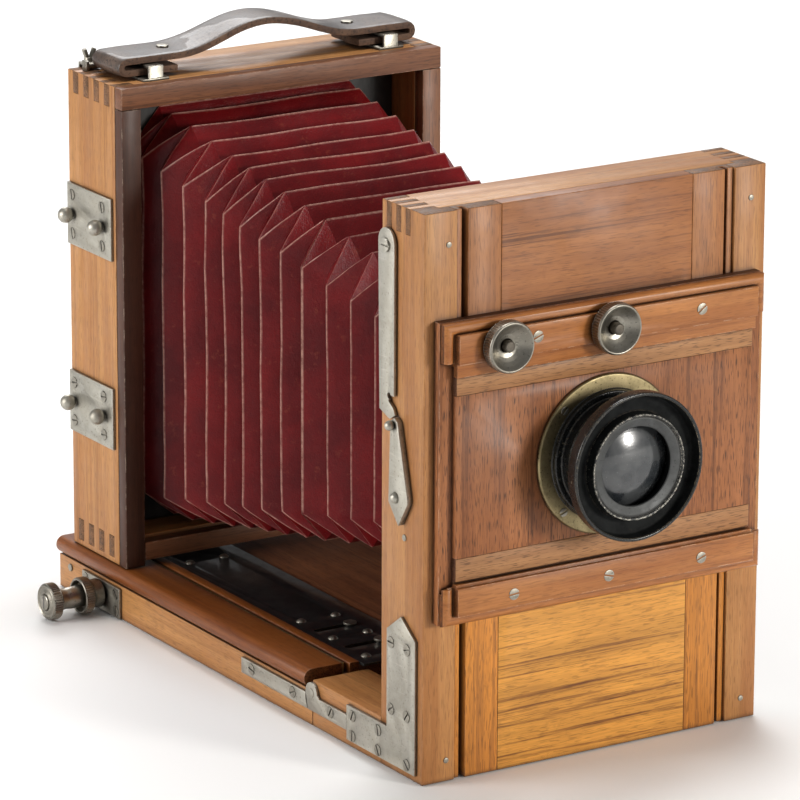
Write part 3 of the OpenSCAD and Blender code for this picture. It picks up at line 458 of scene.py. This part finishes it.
def new_piece(name, bm, materials, nodes, bevel=0.0, angle=35, smooth=38):
    """Makes a piece from a bmesh, bevels it, and lets it stand for its CAD nodes."""
    mesh = bpy.data.meshes.new(name)
    bm.to_mesh(mesh)
    bm.free()
    obj = bpy.data.objects.new(name, mesh)
    bpy.context.scene.collection.objects.link(obj)
    for key in materials:
        mesh.materials.append(MATERIALS[key])
    if bevel:
        mod = obj.modifiers.new("bevel", "BEVEL")
        mod.width = bevel
        mod.segments = 2
        mod.limit_method = "ANGLE"
        mod.angle_limit = math.radians(angle)
        mod.use_clamp_overlap = True
        apply_modifiers(obj)
    for polygon in obj.data.polygons:
        polygon.use_smooth = True
    obj.data.set_sharp_from_angle(angle=math.radians(smooth))
    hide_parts(*nodes)
    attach(obj, BODY_OF[nodes[0]])


def apply_modifiers(obj):
    """Bakes the modifiers into the mesh, and removes them."""
    graph = bpy.context.evaluated_depsgraph_get()
    mesh = bpy.data.meshes.new_from_object(obj.evaluated_get(graph))
    obj.modifiers.clear()
    obj.data = mesh


def mark_boards(bm):
    """Gives each loose board its own grain offset."""
    layer = bm.verts.layers.float_vector.new("board")
    seen = set()
    for start in bm.verts:
        if start in seen:
            continue
        group, stack = [], [start]
        seen.add(start)
        while stack:
            vert = stack.pop()
            group.append(vert)
            for edge in vert.link_edges:
                other = edge.other_vert(vert)
                if other not in seen:
                    seen.add(other)
                    stack.append(other)
        centre = sum((v.co for v in group), Vector()) / len(group)
        offset = noise.cell_vector(centre * 37 + Vector((5, 3, 9)))
        for vert in group:
            vert[layer] = offset


def dress(node, key, grain=None, end=None, bevel=0.3):
    """A CAD node's shape with softened edges. Faces square to the grain get the end-grain material."""
    bm = bmesh.new()
    bm.from_mesh(frame["nodes"][node].data)
    bmesh.ops.remove_doubles(bm, verts=bm.verts, dist=1e-6)
    bmesh.ops.dissolve_limit(bm, angle_limit=math.radians(0.6), verts=bm.verts, edges=bm.edges)
    for face in bm.faces:
        face.material_index = 0
        if end and abs(getattr(face.normal, grain.lower())) > 0.9:
            face.material_index = 1
    mark_boards(bm)
    keys = [key, end] if end else [key]
    new_piece(node + "_piece", bm, keys, [node], bevel=bevel * MM)


def add_box(bm, low, high, index=0):
    """A plain block between two corners, in mm."""
    xs, ys, zs = zip(low, high)
    corners = [Vector((x, y, z)) * MM for x in xs for y in ys for z in zs]
    verts = [bm.verts.new(c) for c in corners]
    for quad in ((0, 1, 3, 2), (4, 6, 7, 5), (0, 4, 5, 1), (2, 3, 7, 6), (0, 2, 6, 4), (1, 5, 7, 3)):
        face = bm.faces.new([verts[i] for i in quad])
        face.material_index = index


def softened(profile, radius):
    """The profile with each inner corner cut twice, so that turned edges catch the light."""
    points = [Vector(p) for p in profile]
    out = [points[0]]
    for before, at, after in zip(points, points[1:], points[2:]):
        cut = min(radius, (at - before).length * 0.4, (after - at).length * 0.4)
        a = at + (before - at).normalized() * cut
        b = at + (after - at).normalized() * cut
        out += [a, (a + b) / 4 + at / 2, b]
    return out + [points[-1]]


def lathe(bm, profile, centre, axis, segments=96, radius=0.25, index=0, knurl=None):
    """Turns (radius, height) points in mm round axis. knurl is a milled rim's (low, high, depth, radius)."""
    knurl_low, knurl_high, depth, least = knurl or (0, 0, 0, 0)
    turn = Z.rotation_difference(Vector(axis)).to_matrix()
    rows = []
    for r, h in softened(profile, radius):
        ring = []
        for i in range(segments):
            milled = knurl_low < h < knurl_high and r > least
            cut = depth * (i % 2) if milled else 0
            angle = math.tau * i / segments
            local = Vector(((r - cut) * math.cos(angle), (r - cut) * math.sin(angle), h)) * MM
            ring.append(bm.verts.new(turn @ local + Vector(centre) * MM))
            if r < 1e-6:
                break
        rows.append(ring)
    for low, high in zip(rows, rows[1:]):
        for i in range(segments):
            j = (i + 1) % segments
            loop = [low[i % len(low)], low[j % len(low)], high[j % len(high)], high[i % len(high)]]
            unique = list(dict.fromkeys(loop))
            if len(unique) > 2:
                face = bm.faces.new(unique)
                face.material_index = index


def tidy_normals(bm):
    bmesh.ops.recalc_face_normals(bm, faces=bm.faces)
    return bm


# ---------- Wood ----------

def box_mm(node):
    low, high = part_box(node)
    return low / MM, high / MM


def dress_woodwork():
    for node, grain in (("front_sides", "Z"), ("front_top_board", "X"), ("front_bed_sides", "Y"),
                        ("bed_sides", "Y"), ("bed_floor", "Y"), ("rear_sides", "Z"), ("rear_top_board", "X"),
                        ("rear_sole", "X")):
        dress(node, "light_" + grain, grain, "light_end", 0.45)
    dress("front_bed_floor", "bed_X", "X", "red_end", 0.45)
    dress("front_panel", "middle_X", "X", "light_end", 0.4)
    dress("front_panel_strips", "strip_Z", "Z", "light_end", 0.45)
    dress("bellows_front_frame", "dark_X", "X", "dark_end", 0.5)
    dress("sled_rails", "bed_Y", "Y", "red_end", 0.25)
    dress("sled_strips", "bed_Y", "Y", "red_end", 0.25)
    dress("sled_floor", "dark_Y", "Y", "dark_end", 0.3)
    dress("upper_rail", "red_X", "X", "red_end", 0.3)
    dress("lower_rail", "red_X", "X", "red_end", 0.3)
    dress("rise_panel", "board_Z", "Z", "dark_end", 0.35)
    dress("lens_board", "board_Z", "Z", "dark_end", 0.4)
    dress("lens_board_strips", "pale_X", "X", "dark_end", 0.45)
    dress("bellows_rear_frame", "black_paint", bevel=0.4)
    build_fascia()
    build_glass_frame()


def build_fascia():
    """Two stiles under a full-width head, and a sill, with open joints between them. The left stile takes a
    darker copy of the head's wood, as painted shade.
    """
    low, high = box_mm("rear_fascia")
    width, sill, relief = 10.5, 11.8, 2.8
    bm = bmesh.new()
    gap = 0.12
    add_box(bm, (low.x, low.y, high.z - width), high, 0)
    for side in (-1, 1):
        outer, inner = side * high.x, side * (high.x - width)
        near, far = min(outer, inner), max(outer, inner)
        # The left stile takes the darker stile copy as painted shade; the right stile takes the head's wood.
        add_box(bm, (near, low.y, low.z), (far, high.y, high.z - width - gap), 1 if side < 0 else 3)
    add_box(bm, (low.x + width + gap, low.y, low.z + relief), (high.x - width - gap, high.y, low.z + sill), 0)
    mark_boards(bm)
    for face in bm.faces:
        if abs(face.normal.x) > 0.9 and face.material_index == 0:
            face.material_index = 2
    slots = ["head_X", "stile_Z", "dark_end", "head_Z"]
    new_piece("rear_fascia_piece", tidy_normals(bm), slots, ["rear_fascia"], bevel=0.55 * MM)


def build_glass_frame():
    """The ground-glass frame with its hinge leaves, and the glass."""
    dress("glass_frame", "light_Z", "Z", "light_end", 0.4)
    dress("ground_glass", "ground", bevel=0.2)


# ---------- Metal ----------

def dress_metalwork():
    for node in ("corner_plates", "hinge_leaves", "bearing_plates", "stud_plates"):
        dress(node, "nickel", bevel=0.22)
    for node in ("hook_arm_left", "hook_arm_right"):
        dress(node, "nickel", bevel=0.25)
    for node in ("stay_lever_left", "stay_lever_right"):
        dress(node, "nickel", bevel=0.35)
    for node in ("bed_screws", "front_nails", "stud_plate_screws", "lock_plate_screws", "rail_screws",
                 "lock_bar", "flange_screws"):
        dress(node, "screw_metal", bevel=0.12)
    for node in ("strap_hardware", "back_catch", "back_fittings"):
        dress(node, "worn_nickel", bevel=0.2)
    dress("pinion_shaft", "worn_nickel", bevel=0.2)
    for node in ("pinion_gears", "racks", "groove_strips", "tripod_bush", "glass_clips"):
        dress(node, "brass", bevel=0.12)
    dress("lock_plate", "plate_black", bevel=0.2)


def build_clamp_knob(node):
    """Milled nut with a dished face and the end of its stud."""
    low, high = box_mm(node)
    x, z = (low.x + high.x) / 2, (low.z + high.z) / 2
    face_y = box_mm("upper_rail")[0].y - 0.5
    bm = bmesh.new()
    rim = 11.9
    profile = [(2.9, 0), (9.6, 0), (10.6, 0.5), (rim - 0.5, 0.7), (rim, 1.1), (rim, 5.4), (rim - 0.3, 6.1),
               (11.3, 6.6), (10.8, 6.7), (10.3, 6.3), (9.0, 4.9), (7.2, 3.4), (5.4, 2.3), (4.0, 1.9),
               (3.2, 1.8), (2.75, 1.2)]
    lathe(bm, profile, (x, face_y, z), (0, -1, 0), 120, 0.22, 0, (0.9, 5.7, 0.45, 11.5))
    reach = 6.1 if node == "shift_knob" else 4.9
    stud = [(2.68, -10.5), (2.68, reach - 0.5), (2.2, reach), (0, reach)]
    lathe(bm, stud, (x, face_y, z), (0, -1, 0), 40, 0.2, 1)
    new_piece(node + "_piece", tidy_normals(bm), ["worn_nickel", "dark_steel"], [node], smooth=30)


def build_focus_knobs():
    """Milled focusing knob on a long neck, and the cup-shaped lock nut behind it."""
    low, high = box_mm("focus_knob")
    y, z = (low.y + high.y) / 2, (low.z + high.z) / 2
    face = low.x + 0.9
    bm = bmesh.new()
    profile = [(0, 0.3), (1.2, 0.3), (3.9, 0.2), (4.5, -0.2), (5.2, 0.1), (6.4, 0.7), (7.6, 0.6), (8.2, 0.0),
               (8.7, 0.6), (9.1, 1.0), (9.1, 5.0), (8.7, 5.5), (7.2, 6.2), (5.4, 7.4), (5.1, 10.5),
               (5.4, 13.0), (5.4, 20.4), (3.1, 20.4)]
    lathe(bm, profile, (face, y, z), (1, 0, 0), 96, 0.25, 0, (0.8, 5.3, 0.42, 8.7))
    screw = [(3.8, 0.4), (3.8, -0.5), (3.2, -0.85), (0.5, -0.88), (0, -0.88)]
    lathe(bm, screw, (face, y, z), (1, 0, 0), 40, 0.15, 0)
    # A thin black bar across the screw head stands in for its slot: painted shade, not a cut.
    add_box(bm, (face - 0.895, y - 0.45, z - 3.4), (face - 0.84, y + 0.45, z + 3.4), 1)
    new_piece("focus_knob_piece", tidy_normals(bm), ["worn_nickel", "blacking"], ["focus_knob"], smooth=30)
    low, high = box_mm("lock_nut")
    bm = bmesh.new()
    profile = [(3.1, 0), (6.4, 0), (7.1, 0.6), (7.1, 4.6), (7.5, 5.6), (8.4, 6.4), (9.1, 6.9), (9.1, 11.0),
               (8.7, 11.6), (8.1, 11.75), (7.7, 11.4), (7.6, 8.1), (7.2, 7.8), (3.1, 7.8)]
    lathe(bm, profile, (high.x, y, z), (-1, 0, 0), 96, 0.25, 0, (6.7, 11.2, 0.42, 8.8))
    new_piece("lock_nut_piece", tidy_normals(bm), ["worn_nickel"], ["lock_nut"], smooth=30)


# ---------- Lens ----------

def build_lens():
    """Flange, barrel, hood and glass, as outlines whose heights run forward from the lens board's front."""
    front = box_mm("lens_board")[0].y
    centre_z = (box_mm("lens_flange")[0].z + box_mm("lens_flange")[1].z) / 2
    centre = (0, front, centre_z)
    forward = (0, -1, 0)
    bm = bmesh.new()
    flange = [(27.3, 0), (37.25, 0), (37.25, 1.3), (36.6, 2.0), (30.6, 2.0)]
    lathe(bm, flange, centre, forward, 128, 0.3)
    collar = [(30.6, 1.9), (30.1, 2.4), (29.9, 4.1), (29.4, 4.6), (27.3, 4.6)]
    lathe(bm, collar, centre, forward, 128, 0.2, 1)
    new_piece("lens_flange_piece", tidy_normals(bm), ["brass", "blacking"], ["lens_flange"], smooth=32)
    bm = bmesh.new()
    barrel = [(27.2, -0.5), (27.2, 4.8), (26.7, 5.1), (26.7, 9.8), (27.0, 10.1), (27.0, 10.6), (26.6, 10.9),
              (26.6, 15.0), (27.6, 15.6), (27.9, 17.9)]
    lathe(bm, barrel, centre, forward, 128, 0.3, 0)
    inside = [(24.9, -0.5), (24.9, -20.3), (23.8, -20.45), (21.1, -20.45), (21.1, -18.0), (19.5, -17.0),
              (19.5, 12.0)]
    lathe(bm, inside, centre, forward, 96, 0.3, 1)
    add_box(bm, (-2.0, front - 10.6, centre_z + 26.2), (15.0, front - 8.6, centre_z + 27.2), 1)
    new_piece("lens_barrel_piece", tidy_normals(bm), ["blacking", "ring_black"], ["lens_barrel"], smooth=32)
    bm = bmesh.new()
    hood = [(27.2, 17.6), (28.6, 18.0), (29.2, 19.4), (33.6, 20.3), (34.35, 21.0), (34.35, 26.4),
            (34.0, 26.95), (33.0, 26.95), (32.6, 26.4)]
    lathe(bm, hood, centre, forward, 144, 0.25)
    recess = [(32.6, 26.5), (32.3, 21.6), (31.8, 21.0), (25.6, 20.8), (24.9, 21.4)]
    lathe(bm, recess, centre, forward, 144, 0.25, 3)
    milled = [(24.9, 21.3), (24.7, 22.6), (24.75, 26.2), (24.3, 26.7), (23.5, 26.6), (23.1, 25.9)]
    lathe(bm, milled, centre, forward, 168, 0.12, 1, (24.9, 26.65, 0.42, 24.1))
    face = [(23.1, 26.0), (22.7, 25.5), (22.2, 25.6), (18.6, 24.6), (18.3, 24.2)]
    lathe(bm, face, centre, forward, 128, 0.12, 2)
    bore = [(18.4, 24.3), (18.3, 23.4), (20.4, 20.0), (20.95, 18.0)]
    lathe(bm, bore, centre, forward, 128, 0.2, 3)
    slots = ["blacking", "milled_edge", "ring_grey", "matt_black"]
    new_piece("lens_hood_piece", tidy_normals(bm), slots, ["lens_hood"], smooth=32)
    bm = bmesh.new()
    steps = 14
    edge, rim = 20.9, 3.0
    for height, dome_r, way in ((17.0, 42.0, 1), (-13.5, 58.0, -1)):
        base = math.sqrt(dome_r ** 2 - edge ** 2)
        dome = [(0, -rim), (edge, -rim)]
        radii = [edge * i / steps for i in range(steps, -1, -1)]
        dome += [(r, math.sqrt(dome_r ** 2 - r ** 2) - base) for r in radii]
        lathe(bm, dome, (0, front - height, centre_z), (0, -way, 0), 96, 0.05)
    new_piece("lens_elements_piece", tidy_normals(bm), ["glass"], ["lens_elements"], smooth=30)


# ---------- Handle strap ----------

def strap_line():
    """The strap's underside and upper side as (x, z) lines in mm, from left to right."""
    low, high = box_mm("handle_strap")
    half, thick = high.x, 4.0
    arch_half, rise = 50.0, 11.0
    flat = low.z + 5.8
    line = []
    for i in range(61):
        x = -half + 5 + (2 * half - 10) * i / 60
        lift = rise * (1 + math.cos(math.pi * x / arch_half)) / 2 if abs(x) < arch_half else 0
        line.append((x, flat + lift))
    return line, thick, flat, half, low.z


def build_strap():
    """Leather strap with a raised grip and ends folded under, cut edges left raw."""
    line, thick, flat, half, bottom = strap_line()
    low, high = box_mm("handle_strap")
    y0, y1 = low.y, high.y
    path = [(-half + 33, bottom + thick / 2), (-half + 12, bottom + thick / 2)]
    bend = (flat + thick / 2 - bottom - thick / 2) / 2
    middle = bottom + thick / 2 + bend
    for i in range(7):
        a = -math.pi / 2 - math.pi * i / 6
        path.append((-half + 4.9 + bend * math.cos(a), middle + bend * math.sin(a)))
    path += [(x, z + thick / 2) for x, z in line[2:-2]]
    path += [(-x, z) for x, z in reversed(path[:9])]
    bm = bmesh.new()
    rows = []
    steps = 8
    for i, (x, z) in enumerate(path):
        before, after = path[max(i - 1, 0)], path[min(i + 1, len(path) - 1)]
        along = Vector((after[0] - before[0], 0, after[1] - before[1])).normalized()
        up = Vector((-along.z, 0, along.x))
        narrow = 1.4 * math.exp(-(x / 30) ** 2)
        edge = 0.5 * noise.noise(Vector((x * 0.05, 0, z * 0.03)))
        row = []
        for side in (1, -1):
            for j in range(steps + 1):
                share = j / steps if side == 1 else 1 - j / steps
                y = (y0 + 0.6 + narrow) + (y1 - y0 - 1.2 - 2 * narrow) * share + edge * 0.4
                crown = 0.35 * math.sin(math.pi * share)
                wave = 0.25 * noise.noise(Vector((x * 0.08, y * 0.12, 3)))
                place = Vector((x, y, z)) + up * (side * (thick / 2 - 0.35) + crown * (side == 1) + wave)
                row.append(bm.verts.new(place * MM))
        rows.append(row)
    count = len(rows[0])
    for a, b in zip(rows, rows[1:]):
        for j in range(count):
            k = (j + 1) % count
            face = bm.faces.new((a[j], b[j], b[k], a[k]))
            face.material_index = 0 if j < steps else 1
    for row in (rows[0], rows[-1]):
        face = bm.faces.new(row)
        face.material_index = 1
    new_piece("handle_strap_piece", tidy_normals(bm), ["strap", "strap_raw"], ["handle_strap"],
              bevel=0.5 * MM, angle=50)


# ---------- Bellows ----------

# Where each ridge stands, in mm: the pleats are a little uneven. SAG lowers the underside, and LOW_CUT
# makes its cut corners smaller. PANEL and CORNER are the points across a flat side and a cut corner, and
# SLOPE those down one side of a fold.
RIDGES = (223.7, 206.3, 187.8, 169.8, 154.6, 139.9, 124.4, 107.2,
          90.5, 71.0, 52.0, 33.2, 14.4, -4.3, -22.8, -37.5)
FOLD = 9.0
SAG = 6.5
LOW_CUT = 6.0
MIDDLE_Z = 147.0
PANEL = (0, 0.02, 0.045, 0.08, 0.13, 0.22, 0.34, 0.5, 0.66, 0.78, 0.87, 0.92, 0.955, 0.98)
CORNER = (0, 0.06, 0.18, 0.34, 0.5, 0.66, 0.82, 0.94)
SLOPE = (0, 0.04, 0.16, 0.32, 0.5, 0.68, 0.84, 0.96)


def smooth_step(x):
    x = min(1, max(0, x))
    return x * x * (3 - 2 * x)


def corner_ends(y, sx, sz, front_y, back_y):
    """Where the cut corner meets the flat top or bottom, and where it meets the side."""
    share = (y - front_y) / (back_y - front_y)
    half_x, half_z = 50 + 20 * share, 50 + 50 * share
    cut_x, cut_z = 9 + 7.5 * share, 23 - 3.5 * share
    if sz < 0:
        half_z += SAG * smooth_step(min(share, 1 - share) / 0.06)
        cut_z -= LOW_CUT
    return Vector((sx * (half_x - cut_x), y, sz * half_z)), Vector((sx * half_x, y, sz * (half_z - cut_z)))


def bellows_row(rear, front, side_turn, t, front_y, back_y):
    """One ring of (place, wear). Top and bottom fold before the sides, so the ridges step at each corner."""
    deep = FOLD * (1 - abs(2 * t - 1)) ** 1.15
    points = []

    def flat(a, b, inward, moves):
        for u in PANEL:
            window = 0.86 + 0.14 * smooth_step(min(u, 1 - u) / 0.12)
            depth = deep * window + 0.06 * deep * math.sin(math.pi * u) if moves else 0.0
            wear = 1.0 if t == 0 or not moves else 0.0
            points.append((a.lerp(b, u) + inward * depth, wear))

    def corner(sx, sz, from_top):
        outward = Vector((sx, 0, sz)).normalized()
        top_rear, side_rear = corner_ends(rear, sx, sz, front_y, back_y)
        top_front, side_front = corner_ends(front, sx, sz, front_y, back_y)
        for v in CORNER:
            u = v if from_top else 1 - v
            bulge = outward * 0.5 * math.sin(math.pi * u)
            step = top_front.lerp(side_rear, u) + bulge
            if side_turn:
                place = step.lerp(top_front.lerp(side_front, u), t) - Vector((sx, 0, 0)) * (0.86 * deep * u)
                wear = 0.9 if t == 0 else 0.0
            else:
                inward = Vector((0, 0, sz)) * (0.86 * deep * (1 - u))
                place = top_rear.lerp(side_rear, u).lerp(step, t) - inward
                wear = 0.35 if t == 0 else 0.0
            points.append((place, wear))

    def ends(sx, sz):
        top_rear, side_rear = corner_ends(rear, sx, sz, front_y, back_y)
        top_front, side_front = corner_ends(front, sx, sz, front_y, back_y)
        if side_turn:
            return top_front, side_rear.lerp(side_front, t)
        return top_rear.lerp(top_front, t), side_rear

    flat(ends(1, 1)[0], ends(-1, 1)[0], Vector((0, 0, -1)), not side_turn)
    corner(-1, 1, True)
    flat(ends(-1, 1)[1], ends(-1, -1)[1], Vector((1, 0, 0)), side_turn)
    corner(-1, -1, False)
    flat(ends(-1, -1)[0], ends(1, -1)[0], Vector((0, 0, 1)), not side_turn)
    corner(1, -1, True)
    flat(ends(1, -1)[1], ends(1, 1)[1], Vector((-1, 0, 0)), side_turn)
    corner(1, 1, False)
    return points


def build_bellows(node, at_front):
    """Half of the pleated bellows as a thin folded sheet."""
    front_y = box_mm("bellows_front")[0].y
    back_y = box_mm("bellows_rear")[1].y
    middle = RIDGES[8]
    stops = [back_y - 0.1, *RIDGES, front_y + 0.2]
    stops = [y for y in stops if (y <= middle if at_front else y >= middle)]
    rows = []
    for rear, front in zip(stops, stops[1:]):
        for side_turn in (False, True):
            rows += [bellows_row(rear, front, side_turn, t, front_y, back_y) for t in SLOPE]
    rows.append(bellows_row(stops[-1], stops[-1], False, 0, front_y, back_y))
    bm = bmesh.new()
    layer = bm.verts.layers.float.new("ridge")
    rings = []
    for row in rows:
        ring = []
        for place, wear in row:
            calm = smooth_step(min(abs(place.y - end) for end in (back_y, middle, front_y)) / 6)
            wave = Vector([noise.noise(place * 0.028 + Vector((7 * i, 3, 5))) for i in range(3)])
            ripple = noise.noise(Vector((place.x * 0.09, place.y * 0.13, place.z * 0.09)))
            inward = Vector((-place.x, 0, -place.z)).normalized()
            moved = place + (wave * 0.9 + inward * ripple * 0.45 * (1 - wear)) * calm
            vert = bm.verts.new((moved + Vector((0, 0, MIDDLE_Z))) * MM)
            vert[layer] = wear
            ring.append(vert)
        rings.append(ring)
    count = len(rings[0])
    for a, b in zip(rings, rings[1:]):
        for j in range(count):
            k = (j + 1) % count
            bm.faces.new((a[j], a[k], b[k], b[j]))
    bmesh.ops.remove_doubles(bm, verts=bm.verts, dist=0.01 * MM)
    tidy_normals(bm)
    mesh = bpy.data.meshes.new(node + "_piece")
    bm.to_mesh(mesh)
    bm.free()
    obj = bpy.data.objects.new(node + "_piece", mesh)
    bpy.context.scene.collection.objects.link(obj)
    mesh.materials.append(MATERIALS["bellows"])
    wall = obj.modifiers.new("wall", "SOLIDIFY")
    wall.thickness = 0.5 * MM
    wall.offset = -1
    apply_modifiers(obj)
    for polygon in obj.data.polygons:
        polygon.use_smooth = True
    obj.data.set_sharp_from_angle(angle=math.radians(24))
    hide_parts(node)
    if at_front:
        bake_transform(obj)
    else:
        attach(obj, "sled")
        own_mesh(obj)


# ---------- Scene ----------

add_camera()
add_studio()
MATERIALS.update(make_materials())
dress_woodwork()
dress_metalwork()
for knob in ("rise_knob", "shift_knob"):
    build_clamp_knob(knob)
build_focus_knobs()
build_lens()
build_strap()
build_bellows("bellows_front", True)
build_bellows("bellows_rear", False)
